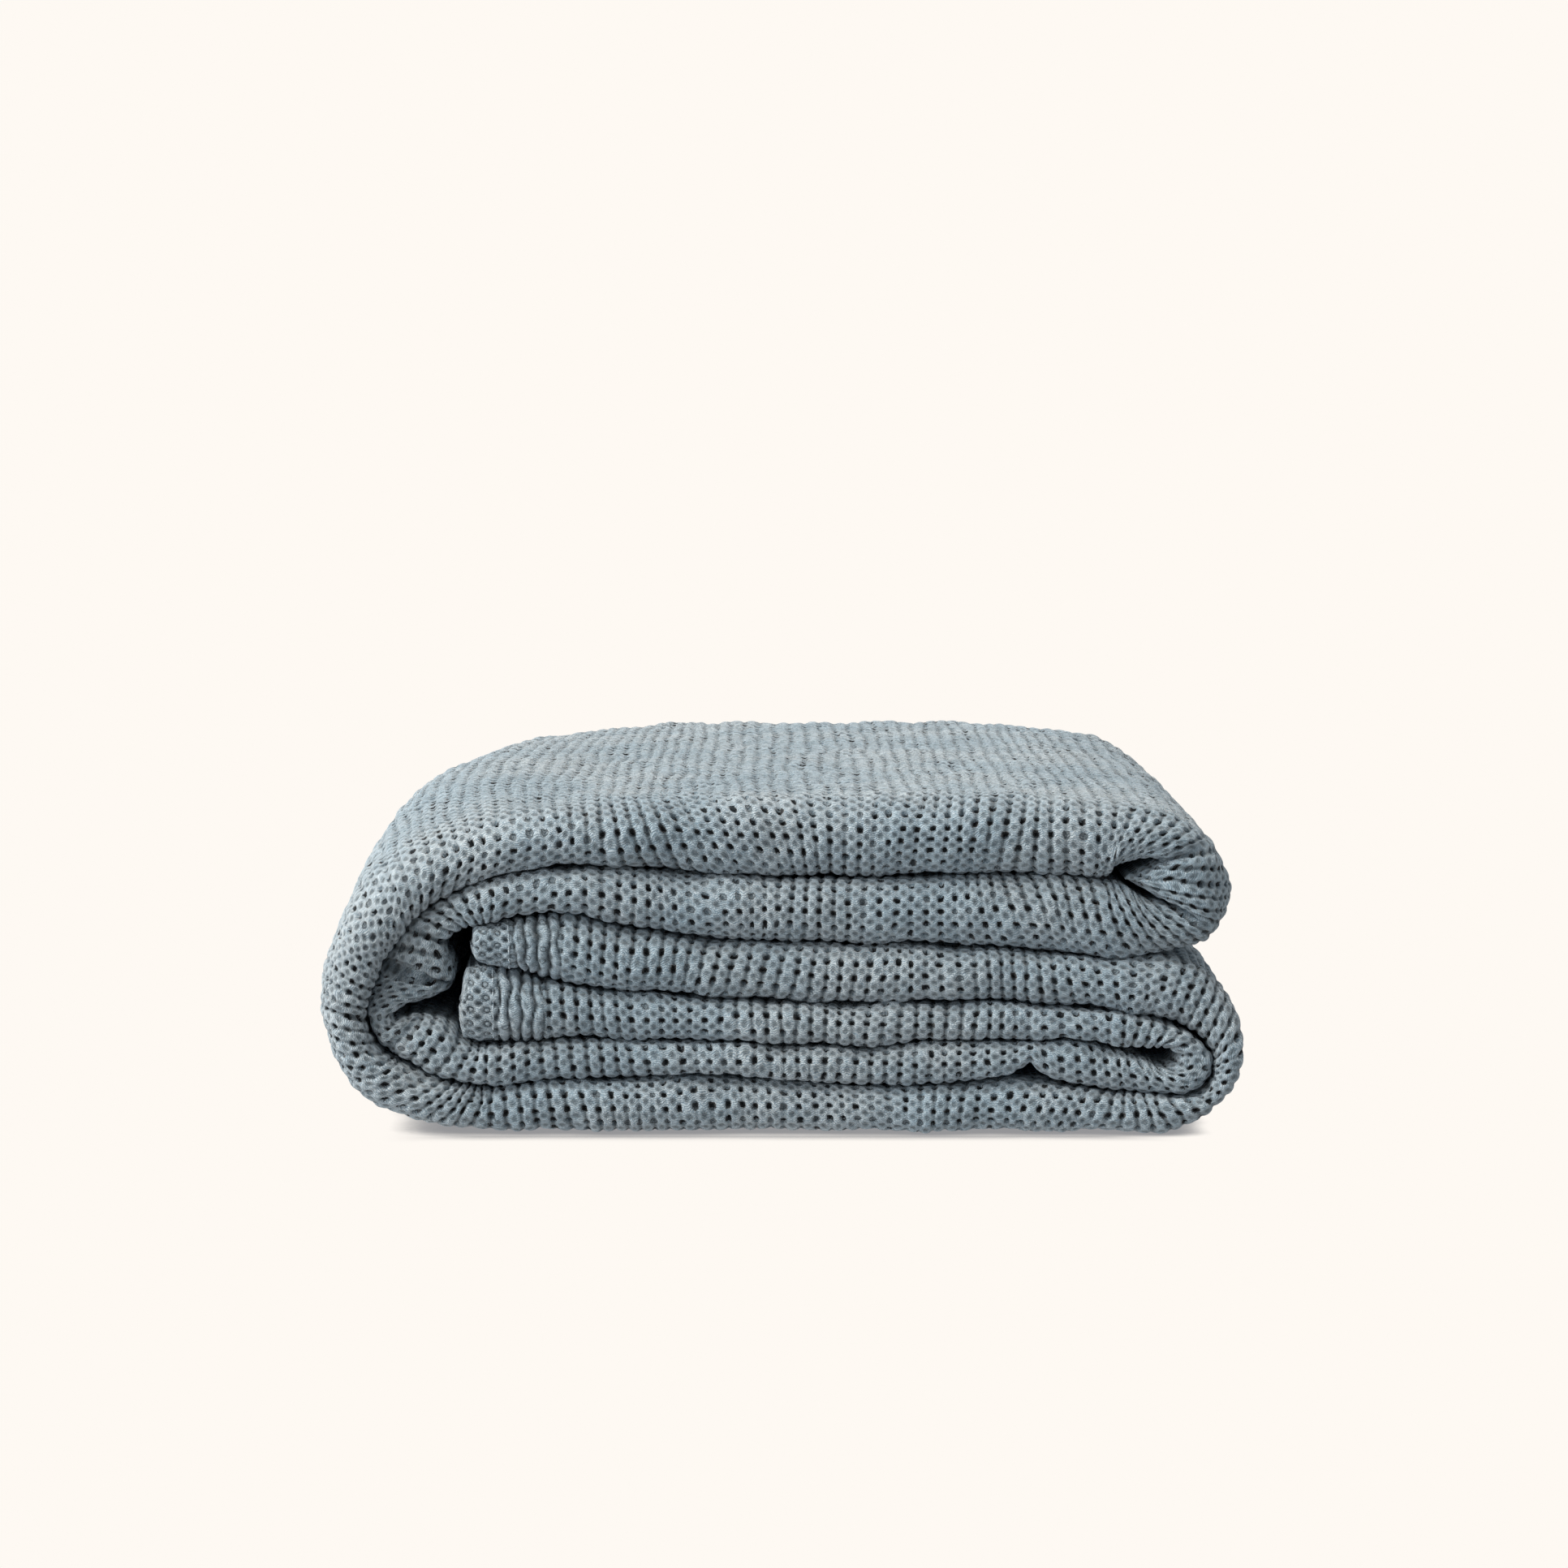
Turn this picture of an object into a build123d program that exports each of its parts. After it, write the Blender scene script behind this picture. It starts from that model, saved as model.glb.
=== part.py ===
"""Folded throw blanket: one honeycomb-woven sheet, in four plies across its width and six leaves along it.

Folded in four, the sheet is a strip four plies thick, with its fold edge at the front (-Y). The strip is
doubled: top_turn joins its halves. The doubled strip is then folded in three. It runs left from top_turn as
the top leaves, down round the left turn, right as the bottom leaves, up round the right turns, and back left
as the tucked middle leaves, whose hemmed ends lie inside the left turn. Millimetres, +Z up, origin at the
middle of the base.
"""

import os

from build123d import *

# Driving sizes
DEPTH = 325.0  # from fold edge to selvedge, Y: a quarter of the sheet's width
HEIGHT = 112.0
GAP = 0.3  # air between cloth that only lies on other cloth
X_LEFT = -95.0  # where the flat leaves meet the left turn
X_RIGHT = 115.0  # where they meet the right turns
FOLD_RADIUS = 5.0  # rounding of the front fold edges
INNER_FOLD_RADIUS = 3.0  # the same, on the thinner inner cloth of the left turn
FAR = 300.0  # beyond every outline

# The top leaves open to the left about two axes along Y: the side swings about the lower one, the top leaves
# about the upper one. Opened, the side and the top leaves lie flat on what the blanket rests on.
LOWER_HINGE = (-125.0, 26.5)
UPPER_HINGE = (-125.0, 86.5)
SIDE_CENTRE = (-97.0, (LOWER_HINGE[1] + UPPER_HINGE[1]) / 2)  # centre of the left turn
SIDE_ANGLE = 30  # degrees above and below the centre that swing as one piece

# Heights of the creases between leaves, at these places along X
STATIONS = (X_LEFT, -76, -45, 0, 45, 85, X_RIGHT)
TOP = (103, 109, 111.9, HEIGHT, 111.8, 110.5, 106)
ONE_TWO = (82, 87, 87, 84.5, 85, 86.5, 83)
TWO_THREE = (70, 72.5, 66, 63, 62, 60.5, 58)
THREE_FOUR = (54, 50.5, 46, 44, 43, 42.5, 40)
FOUR_FIVE = (29.5, 31, 31, 29.5, 30.5, 30.5, 27)
FIVE_SIX = (15.5, 17, 19, 17, 17, 17.5, 14)
FLOOR = [(X_LEFT, 0), (X_RIGHT, 0)]

# Outlines of the turns, each from its upper end to its lower end
LIFT = 1.0  # the left turn's lowest point stands this far off the floor
LEFT_OUTSIDE = [(X_LEFT, 103), (-118, 93), (-139, 74), (-151, 45), (-144, 21), (-127, 6.5), (X_LEFT, LIFT)]
LEFT_BETWEEN = [(X_LEFT, 82), (-115, 73), (-129, 57), (-135, 39), (-130, 26), (-113, 18.5), (X_LEFT, 15.5)]
LEFT_INSIDE = [
    (X_LEFT, 70), (-108, 66), (-114, 57), (-119, 50), (-121, 43), (-114, 34), (-105, 30), (X_LEFT, 29.5),
]
TOP_NOSE = [(X_RIGHT, 106), (134, 98.5), (145, 83), (139, 68.5), (127, 61), (X_RIGHT, 58.3)]
RIGHT_OUTSIDE = [(X_RIGHT, 57.7), (127, 55), (141, 46), (151, 26), (142, 8.5), (128, 1.7), (X_RIGHT, 0)]
RIGHT_BETWEEN = [(X_RIGHT, 40), (130, 35.5), (138.5, 26), (131, 16), (X_RIGHT, 14)]

# Hems, clockwise from where each one meets its leaf at the top
UPPER_HEM = [(-87.5, 53.3), (-102, 57.0), (-100.5, 67.0), (-87.5, 70.6)]
LOWER_HEM = [(-93.0, 30.4), (-107.5, 33.0), (-104.5, 54.3), (-93.0, 53.4)]
HEM_CORNER = 3.0

# Sewing thread, seen where each hem's seam crosses the front folds
STITCH_LENGTH = 3.0
STITCH_WIDTH = 0.9
STITCH_HEIGHT = 0.6
STITCH_PITCH = 4.4


def crease(heights, shift=0.0):
    """The points of one crease, moved up or down by shift."""
    return [(x, z + shift) for x, z in zip(STATIONS, heights)]


def moved_in(points, amount):
    """The points of a turn's outline, moved towards the middle of its straight side."""
    centre = Vector(points[0][0], (points[0][1] + points[-1][1]) / 2)
    moved = []
    for x, z in points:
        step = (centre - Vector(x, z)).normalized() * amount
        moved.append((x, z + step.Y) if x == points[0][0] else (x + step.X, z + step.Y))
    return moved


def back_plane():
    """The plane of the selvedges, facing forward, so that an extrusion runs from back to front."""
    return Plane.XZ.offset(-DEPTH / 2)


def front_edges(part):
    """The front face's edges along the strip, where the cloth folds round."""
    at_front = part.edges().group_by(Axis.Y)[0]
    return at_front.filter_by(lambda e: e.geom_type != GeomType.LINE or e.length > X_RIGHT)


def curve(points):
    """A smooth curve through points, or a straight line through two."""
    return Line(*points) if len(points) == 2 else Spline(*points)


def save(part, name):
    part.part.label = name
    export_step(part.part, f"parts/{name}.step")


def leaf(name, above, below, start=None):
    """A flat run of the strip between two creases; start cuts off its left end, where a hem takes over."""
    with BuildPart() as run:
        with BuildSketch(back_plane()):
            with BuildLine():
                Spline(*above)
                Line(above[-1], below[-1])
                curve(below[::-1])
                Line(below[0], above[0])
            make_face()
        extrude(amount=DEPTH)
        fillet(front_edges(run), radius=FOLD_RADIUS)
        if start is not None:
            split(bisect_by=Plane.YZ.offset(start), keep=Keep.TOP)
    save(run, name)


def left_turn(name, outside, inside, wedge, radius):
    """The stretch of the left turn between two outlines that lies inside a wedge."""
    with BuildPart() as turn:
        with BuildSketch(back_plane()):
            with BuildLine():
                Spline(*outside)
                Line(outside[-1], inside[-1])
                Spline(*inside[::-1])
                Line(inside[0], outside[0])
            make_face()
            with BuildLine():
                Polyline(*wedge, close=True)
            make_face(mode=Mode.INTERSECT)
        extrude(amount=DEPTH)
        fillet(front_edges(turn), radius=radius)
    save(turn, name)


def nose(name, outline):
    """The end of the doubled strip, where it turns back on itself."""
    with BuildPart() as turn:
        with BuildSketch(back_plane()):
            with BuildLine():
                Spline(*outline)
                Line(outline[-1], outline[0])
            make_face()
        extrude(amount=DEPTH)
        fillet(front_edges(turn), radius=FOLD_RADIUS)
    save(turn, name)


def right_turn(name, outside, inside):
    """The outer turn at the right, wrapped round the inner one."""
    with BuildPart() as turn:
        with BuildSketch(back_plane()):
            with BuildLine():
                Spline(*outside)
                Line(outside[-1], inside[-1])
                Spline(*inside[::-1])
                Line(inside[0], outside[0])
            make_face()
        extrude(amount=DEPTH)
        fillet(front_edges(turn), radius=FOLD_RADIUS)
    save(turn, name)


def hem(name, corners):
    """A sheet end, turned in and sewn, in all four plies; its front stands back by the thread's height."""
    with BuildPart() as block:
        with BuildSketch(back_plane()) as outline:
            with BuildLine():
                Polyline(*corners, close=True)
            make_face()
            fillet(outline.vertices().sort_by(Axis.X)[:2], radius=HEM_CORNER)
        extrude(amount=DEPTH - STITCH_HEIGHT)
    save(block, name)


def stitches(name, corners):
    """The row of stitches that shows where a hem's seam crosses the front folds."""
    low, high = corners[0], corners[-1]
    seam_x = low[0] - 2 * STITCH_WIDTH
    room = high[1] - low[1] - STITCH_LENGTH - 2
    count = int(room / STITCH_PITCH) + 1
    middle = (high[1] + low[1]) / 2
    with BuildPart() as thread:
        with BuildSketch(Plane.XZ.offset(DEPTH / 2 - STITCH_HEIGHT)):
            with Locations((seam_x, middle)):
                with GridLocations(1, STITCH_PITCH, 1, count):
                    SlotOverall(STITCH_LENGTH, STITCH_WIDTH, rotation=90)
        extrude(amount=STITCH_HEIGHT)
    save(thread, name)


def wedges():
    """Wedges about the left turn's centre: above, beside and below, with clearance round the one beside."""
    x, z = SIDE_CENTRE
    reach = Vector(-FAR, 0).rotate(Axis.Z, -SIDE_ANGLE)
    tip = (x - 2 * GAP, z)
    upper = [(x, z), (x + reach.X, z + reach.Y), (-FAR, FAR), (X_LEFT + 1, FAR), (X_LEFT + 1, z)]
    beside = [tip, (tip[0] + reach.X, z + reach.Y), (tip[0] + reach.X, z - reach.Y)]
    lower = [(px, 2 * z - pz) for px, pz in upper]
    return {"upper": upper, "side": beside, "lower": lower}


os.makedirs("parts", exist_ok=True)
half = GAP / 2

leaf("leaf_1_top", crease(TOP), crease(ONE_TWO, half))
leaf("leaf_2", crease(ONE_TWO, -half), crease(TWO_THREE, half))
leaf("leaf_3_tucked", crease(TWO_THREE, -half), crease(THREE_FOUR, half), start=UPPER_HEM[0][0])
leaf("leaf_4_tucked", crease(THREE_FOUR, -half), crease(FOUR_FIVE, half), start=LOWER_HEM[0][0])
leaf("leaf_5", crease(FOUR_FIVE, -half), crease(FIVE_SIX, half))
leaf("leaf_6_bottom", crease(FIVE_SIX, -half), FLOOR)

for place, wedge in wedges().items():
    left_turn(f"left_turn_outer_{place}", LEFT_OUTSIDE, LEFT_BETWEEN, wedge, FOLD_RADIUS)
    left_turn(f"left_turn_inner_{place}", moved_in(LEFT_BETWEEN, GAP), LEFT_INSIDE, wedge, INNER_FOLD_RADIUS)

nose("top_turn", TOP_NOSE)
nose("right_turn_inner", moved_in(RIGHT_BETWEEN, GAP))
right_turn("right_turn_outer", RIGHT_OUTSIDE, RIGHT_BETWEEN)

hem("upper_hem", UPPER_HEM)
hem("lower_hem", LOWER_HEM)
stitches("upper_hem_stitches", UPPER_HEM)
stitches("lower_hem_stitches", LOWER_HEM)

for title, (hinge_x, hinge_z) in {"side": LOWER_HINGE, "top": UPPER_HINGE}.items():
    print(f"{title} hinge: along Y through x {hinge_x}, z {hinge_z}")
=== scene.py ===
import math

import bpy
import numpy as np
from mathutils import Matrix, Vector


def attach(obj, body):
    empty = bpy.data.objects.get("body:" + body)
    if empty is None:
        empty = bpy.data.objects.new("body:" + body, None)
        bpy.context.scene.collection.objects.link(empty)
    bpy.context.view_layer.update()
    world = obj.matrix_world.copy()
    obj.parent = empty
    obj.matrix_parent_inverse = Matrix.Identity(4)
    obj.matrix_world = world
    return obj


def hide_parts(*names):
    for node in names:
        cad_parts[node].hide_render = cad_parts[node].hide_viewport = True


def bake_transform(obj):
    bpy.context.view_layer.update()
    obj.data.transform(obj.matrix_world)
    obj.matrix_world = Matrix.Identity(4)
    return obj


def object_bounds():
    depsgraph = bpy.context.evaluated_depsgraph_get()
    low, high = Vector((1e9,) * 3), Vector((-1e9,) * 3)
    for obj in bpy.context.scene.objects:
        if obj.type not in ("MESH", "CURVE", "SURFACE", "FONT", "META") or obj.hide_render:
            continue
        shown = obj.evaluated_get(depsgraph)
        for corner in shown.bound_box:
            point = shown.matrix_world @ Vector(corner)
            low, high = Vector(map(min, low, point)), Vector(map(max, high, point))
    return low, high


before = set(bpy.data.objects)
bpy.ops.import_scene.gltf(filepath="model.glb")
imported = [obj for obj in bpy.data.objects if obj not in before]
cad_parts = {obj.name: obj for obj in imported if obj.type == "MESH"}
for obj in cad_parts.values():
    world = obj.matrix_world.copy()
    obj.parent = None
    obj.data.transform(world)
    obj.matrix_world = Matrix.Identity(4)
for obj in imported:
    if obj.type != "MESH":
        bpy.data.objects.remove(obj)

# The throw is one sheet, folded in four to a strip and then rolled up along its length. Every piece below
# is a stretch of that strip: s runs along it, and v runs across the cloth, from the front fold edge (v = 0)
# both ways round to the back. Lengths are millimetres until a mesh is written.

MM = 0.001
CAD_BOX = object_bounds()
Y_FRONT = CAD_BOX[0].y / MM
DEPTH = (CAD_BOX[1].y - CAD_BOX[0].y) / MM

# Honeycomb weave. A pit lies at every corner of the grid of cells, a dimple at every middle, and a pad
# between each pit and the next along the strip.
PITCH_S = 4.85  # cell size along the strip
PITCH_V = 4.9  # cell size across the cloth
PIT = 2.4  # depths
DIMPLE = 0.65
PIT_HALF = 0.168  # half the width of a pit, in cells
PIT_STAIN = 0.178  # half the width of its dark colour
CELL_STEPS = 8  # mesh columns per cell, and rows too on faces that show
OPENED_STEPS = 5  # mesh rows per cell on faces that only show when the throw is opened
HIDDEN_STEPS = 0  # faces that never show

# Outlines of the strip's two faces: A is the face next to the back fold, B the one next to the selvedges.
XS = (-95, -85, -70, -50, -25, 0, 25, 50, 75, 104)
TOP = (101.5, 104.3, 107, 110, 111.3, 111.6, 111.6, 111.7, 111.3, 109.5)
CREASE_1 = (82, 84.8, 86.7, 87, 85.3, 84.5, 84.1, 84.7, 85.7, 84.2)
CREASE_2 = (68.5, 70.8, 72, 68, 64.3, 63, 62.3, 62, 60.8, 58)
CREASE_3 = (55, 52.6, 48.8, 46.6, 45, 43.6, 42.7, 43.2, 43.3, 41.2)
CREASE_4 = (29.5, 30.2, 31.2, 30.7, 30.8, 29.8, 28.6, 30.4, 31, 30)
PINCH_X, PINCH_HEIGHT, PINCH_WIDTH = 80.5, 5.6, 4.6  # leaf 5 is lifted off leaf 6 in a small fold
CREASE_5 = (15.4, 16.7, 17.6, 18.3, 19.6, 17.6, 15.9, 16.2, 18.3, 14.4)
FLOOR = (0.4,) * len(XS)
AIR = 0.25  # half the space between cloth and cloth

# Turns, as (A, B) pairs of points
LOWER_HEM_END = [((-107.5, 32), (-105, 54.3)), ((-101, 30), (-100, 54.6))]
UPPER_HEM_END = [((-98, 68), (-98, 55.8)), ((-101.5, 67.3), (-101.5, 56.6))]
RIGHT_INNER = [
    ((112, 28.6), (114, 39.1)), ((119.5, 28), (125, 36.7)), ((125, 28.4), (134, 32.8)),
    ((128.6, 26), (139.5, 25.5)), ((126.5, 22.8), (138.5, 17.5)), ((121, 23), (130, 12.9)),
    ((113, 26.6), (116, 13.6)),
]
LEFT_INNER_LOWER = [
    ((-103.5, 30.5), (-112, 18.3)), ((-110, 36.5), (-121, 22.5)), ((-118.5, 38.6), (-129, 26.8)),
    ((-126, 37.2), (-134.6, 33)), ((-127.6, 38.6), (-136.2, 38.5)),
]
LEFT_INNER_UPPER = [
    ((-122.5, 41.8), (-136, 43.5)), ((-114.5, 44), (-134, 49)), ((-108.5, 48), (-131, 54.5)),
    ((-107.5, 55), (-127, 61.2)), ((-109.5, 61.5), (-121, 68.8)), ((-104, 66), (-113, 74.4)),
]
TOP_NOSE = [
    ((115, 58), (110, 82.2)), ((126, 59.2), (114.5, 79.2)), ((135, 61.8), (121, 76.6)),
    ((141.5, 66), (129, 75.6)), ((145.5, 71), (121.5, 78)), ((147, 76), (115.5, 80.8)),
    ((147, 81), (111.5, 83.4)), ((145.5, 86), (115, 85.7)), ((143, 91), (119.5, 88.1)),
    ((140, 95.5), (122.5, 89.8)), ((135.5, 100), (118.5, 90.1)), ((127.5, 104.6), (112.5, 88.5)),
    ((116, 107.4), (106.8, 87.2)),
]
LEFT_OUTER_UPPER = [
    ((-104, 97.6), (-104, 78.8)), ((-115, 93), (-113, 74)), ((-126, 87), (-121, 68.5)),
    ((-137, 78), (-126.5, 61)), ((-145.5, 66), (-131, 54)), ((-150, 53), (-134.5, 46.5)),
]
LEFT_OUTER_LOWER = [
    ((-151, 41), (-136, 38.5)), ((-149, 30), (-134.5, 31)), ((-145, 20), (-130, 26)),
    ((-137, 11.5), (-123.5, 22.3)), ((-128, 6.5), (-114, 18.5)), ((-115, 2.5), (-104, 15.8)),
]
RIGHT_OUTER = [
    ((115, 0.4), (112, 13.6)), ((128, 1.6), (120, 12.6)), ((137, 5), (129, 12.2)), ((144, 11), (137, 14.5)),
    ((148.5, 19), (140.7, 19)), ((150.5, 28.5), (141, 22)), ((148.5, 39), (139.7, 27)),
    ((143.5, 48), (134.5, 33)), ((136, 55), (128, 36)), ((126, 57.5), (120, 38.2)),
    ((115, 57.8), (112, 39.8)),
]


def leaf(upper, lower, direction, a_face):
    """The (A, B) pairs of a flat leaf between two creases; direction is 1 rightwards, -1 leftwards."""
    pairs = []
    for x, high, low in zip(XS, upper, lower):
        top, bottom = (x, high - AIR), (x, low + AIR)
        pairs.append((top, bottom) if a_face == "top" else (bottom, top))
    return pairs[::direction]


# The strip from one hem to the other
STRIP = [
    ("lower_hem_end", LOWER_HEM_END),
    ("leaf_4", leaf(CREASE_3, CREASE_4, 1, "bottom")),
    ("right_inner", RIGHT_INNER),
    ("leaf_5", leaf(CREASE_4, CREASE_5, -1, "top")),
    ("left_inner_lower", LEFT_INNER_LOWER),
    ("left_inner_upper", LEFT_INNER_UPPER),
    ("leaf_2", leaf(CREASE_1, CREASE_2, 1, "bottom")),
    ("top_nose", TOP_NOSE),
    ("leaf_1", leaf(TOP, CREASE_1, -1, "top")),
    ("left_outer_upper", LEFT_OUTER_UPPER),
    ("left_outer_lower", LEFT_OUTER_LOWER),
    ("leaf_6", leaf(CREASE_5, FLOOR, 1, "bottom")),
    ("right_outer", RIGHT_OUTER),
    ("leaf_3", leaf(CREASE_2, CREASE_3, -1, "top")),
    ("upper_hem_end", UPPER_HEM_END),
]


# ---------------------------------------------------------------- smooth random fields

def waves(x, y, length, seed, count=7):
    """A smooth random field of about unit size, made of a few crossing waves of roughly one wavelength."""
    rng = np.random.default_rng(seed)
    total = np.zeros(np.broadcast(x, y).shape)
    for _ in range(count):
        angle = rng.uniform(0, math.tau)
        k = math.tau / (length * rng.uniform(0.7, 1.5))
        total = total + np.sin(k * (x * math.cos(angle) + y * math.sin(angle)) + rng.uniform(0, math.tau))
    return total / math.sqrt(count / 2) / 1.6


def cell_random(i, j, seed):
    """A fixed random number from 0 to 1 for each cell of the weave."""
    n = np.sin(i * 127.1 + j * 311.7 + seed * 74.7) * 43758.5453
    return n - np.floor(n)


def smoothstep(low, high, x):
    t = np.clip((x - low) / (high - low), 0, 1)
    return t * t * (3 - 2 * t)


# ---------------------------------------------------------------- the strip's path

def through(points, steps):
    """A smooth curve through points (rows), with that many samples from each point to the next."""
    points = np.asarray(points, float)
    ghost_first = 2 * points[0] - points[1]
    ghost_last = 2 * points[-1] - points[-2]
    p = np.vstack([ghost_first, points, ghost_last])
    gaps = np.sqrt(np.linalg.norm(np.diff(p, axis=0), axis=1)) + 1e-6
    knots = np.concatenate([[0], np.cumsum(gaps)])
    out = []
    for k in range(1, len(p) - 2):
        t0, t1, t2, t3 = knots[k - 1:k + 3]
        t = np.linspace(t1, t2, steps, endpoint=False)[:, None]
        a1 = (t1 - t) / (t1 - t0) * p[k - 1] + (t - t0) / (t1 - t0) * p[k]
        a2 = (t2 - t) / (t2 - t1) * p[k] + (t - t1) / (t2 - t1) * p[k + 1]
        a3 = (t3 - t) / (t3 - t2) * p[k + 1] + (t - t2) / (t3 - t2) * p[k + 2]
        b1 = (t2 - t) / (t2 - t0) * a1 + (t - t0) / (t2 - t0) * a2
        b2 = (t3 - t) / (t3 - t1) * a2 + (t - t1) / (t3 - t1) * a3
        out.append((t2 - t) / (t2 - t1) * b1 + (t - t1) / (t2 - t1) * b2)
    out.append(points[-1:])
    return np.vstack(out)


def strip_path():
    """Evenly spaced columns along the strip.

    Returns s, the points A and B, the s at which each stretch starts, the s of each stretch's own
    points, and the length along the middle of the plies.
    """
    pairs = np.array([a + b for _, stretch in STRIP for a, b in stretch], float)
    steps = 24
    dense = through(pairs, steps)
    middle = (dense[:, :2] + dense[:, 2:]) / 2
    outer = np.maximum(
        np.linalg.norm(np.diff(dense[:, :2], axis=0), axis=1),
        np.linalg.norm(np.diff(dense[:, 2:], axis=0), axis=1),
    )
    mid = np.linalg.norm(np.diff(middle, axis=0), axis=1)
    length = np.concatenate([[0], np.cumsum(0.45 * outer + 0.55 * mid)])
    count = int(round(length[-1] / PITCH_S * CELL_STEPS))
    s = np.linspace(0, length[-1], count + 1)
    columns = np.stack([np.interp(s, length, dense[:, k]) for k in range(4)], axis=1)
    starts, places, index = {}, {}, 0
    for name, stretch in STRIP:
        places[name] = [length[min((index + k) * steps, len(length) - 1)] for k in range(len(stretch))]
        starts[name] = places[name][0]
        index += len(stretch)
    mid_length = np.interp(s, length, np.concatenate([[0], np.cumsum(mid)]))
    in_leaf_5 = (s > starts["leaf_5"]) & (s < starts["left_inner_lower"])
    from_pinch = np.abs((columns[:, 2] - PINCH_X) / PINCH_WIDTH)
    columns[:, 3] += in_leaf_5 * PINCH_HEIGHT * np.exp(-from_pinch ** 1.5)
    return s, columns[:, :2], columns[:, 2:], starts, places, mid_length


S, FACE_A, FACE_B, STARTS, PLACES, MID_LENGTH = strip_path()
S_END = S[-1]


# ---------------------------------------------------------------- the section: four plies, front to back

WRAP = 22.0  # rows within this distance of the front fold edge are fine everywhere
FRONT_SHAPE = 2.3  # exponent of the front fold's rounding: 2 is an ellipse
CURL = 0.9  # radius of a selvedge's rolled edge
SELVEDGE_REACH = 8.0
FOLD_REACH = 11.0  # furthest that the front fold's rounding reaches back
TOP_REACH = 9.0  # what the top's softer front edge adds to that
BACK_BULGE = 1.2  # how far the fold at the back stands out, in ply thicknesses


def top_share(s):
    """1 where face A is the top of the stack or the outside of its turns: a softer front edge."""
    rise = smoothstep(STARTS["top_nose"], STARTS["top_nose"] + 40, s)
    return rise * (1 - smoothstep(STARTS["left_outer_lower"] + 10, STARTS["leaf_6"], s))


def knots_of(thickness, s):
    """Knots of the section in (y, height), and the indices of its named knots, for every column."""
    n = len(thickness)
    t = thickness
    front = np.minimum(0.52 * t, FOLD_REACH)
    front_a = front + TOP_REACH * top_share(s)
    edge_1 = DEPTH - 3.5 + 1.6 * waves(s, 0 * s, 60, 11)
    edge_2 = DEPTH - 1.8 + 1.4 * waves(s, 0 * s, 75, 12)
    back = DEPTH - t / 6 * BACK_BULGE + 1.0 * waves(s, 0 * s, 90, 13)
    ys, zs, marks = [], [], {}

    def add(y, z):
        ys.append(np.broadcast_to(y, n).astype(float))
        zs.append(np.broadcast_to(z, n).astype(float))

    def mark(name):
        marks[name] = len(ys) - 1

    # selvedge next to face B, rolled over once
    add(edge_1 - 5, 2 * CURL)
    mark("start")
    for a in np.linspace(math.pi / 2, -math.pi / 2, 9):
        add(edge_1 + CURL * math.cos(a), CURL + CURL * math.sin(a))
    add(edge_1 - SELVEDGE_REACH, 0)
    mark("flat_b_back")
    add(front + 0.01, 0)
    # front fold, from face B round to face A
    for a in np.linspace(-math.pi / 2, math.pi / 2, 61):
        c = abs(math.cos(a)) ** (2 / FRONT_SHAPE)
        h = math.copysign(abs(math.sin(a)) ** (2 / FRONT_SHAPE), a)
        add(np.where(a > 0, front_a, front) * (1 - c), t / 2 * (1 + h))
        if abs(a) < 1e-9:
            mark("front")
    # face A and its fold at the back
    add(back - 10, t)
    mark("flat_a_back")
    for a in np.linspace(math.pi / 2, -math.pi / 2, 13):
        add(back + t / 6 * BACK_BULGE * math.cos(a), t * 5 / 6 + t / 6 * math.sin(a))
    add(back - 12, t * 2 / 3)
    mark("fold_end")
    # the inner plies, hidden but for their back edges
    add(front + 6, t * 2 / 3)
    mark("ply_2")
    for a in np.linspace(math.pi / 2, -math.pi / 2, 7)[1:-1]:
        add(front + 6 - t / 6 * math.cos(a), t / 2 + t / 6 * math.sin(a))
    add(front + 6, t / 3)
    mark("ply_3")
    add(edge_2 - SELVEDGE_REACH, t / 3)
    mark("selvedge_2")
    for a in np.linspace(-math.pi / 2, math.pi / 2, 9):
        add(edge_2 + CURL * math.cos(a), t / 3 + CURL + CURL * math.sin(a))
    add(edge_2 - 5, t / 3 + 2 * CURL)
    mark("end")
    return np.stack(ys, axis=1), np.stack(zs, axis=1), marks


def row_lengths(cum, marks, face_steps):
    """For every mesh row: distance along the section in each column, visibility, bake weight."""
    fine = PITCH_V / CELL_STEPS
    front = cum[:, marks["front"]][:, None]
    rows, visible, weight = [], [], []

    def between(low, high, count, is_visible, share=1.0):
        t = np.arange(count)[None, :] / count
        rows.append(low + (high - low) * t)
        visible.append(np.full(count, is_visible, float))
        weight.append(np.full(count, share * float(np.mean(high - low)) / count))

    def at(name):
        return cum[:, marks[name]][:, None]

    between(at("start"), at("flat_b_back"), 16, 1)
    between(at("flat_b_back"), front - WRAP, 20, 0, 0.1)
    between(front - WRAP, front + WRAP, int(round(2 * WRAP / fine)), 1)
    face_rows = int(round((DEPTH - 2 * WRAP) / PITCH_V * face_steps))
    between(front + WRAP, at("flat_a_back"), max(face_rows, 20), face_steps > 0, 1.0 if face_steps else 0.1)
    between(at("flat_a_back"), at("fold_end"), 36, 1)
    between(at("fold_end"), at("ply_2"), 12, 0, 0.1)
    between(at("ply_2"), at("ply_3"), 6, 0, 0.1)
    between(at("ply_3"), at("selvedge_2"), 12, 0, 0.1)
    between(at("selvedge_2"), at("end"), 16, 1)
    rows.append(at("end"))
    visible.append(np.ones(1))
    weight.append(np.zeros(1))
    return np.concatenate(rows, axis=1), np.concatenate(visible), np.concatenate(weight)


# ---------------------------------------------------------------- relief of the weave

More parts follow.
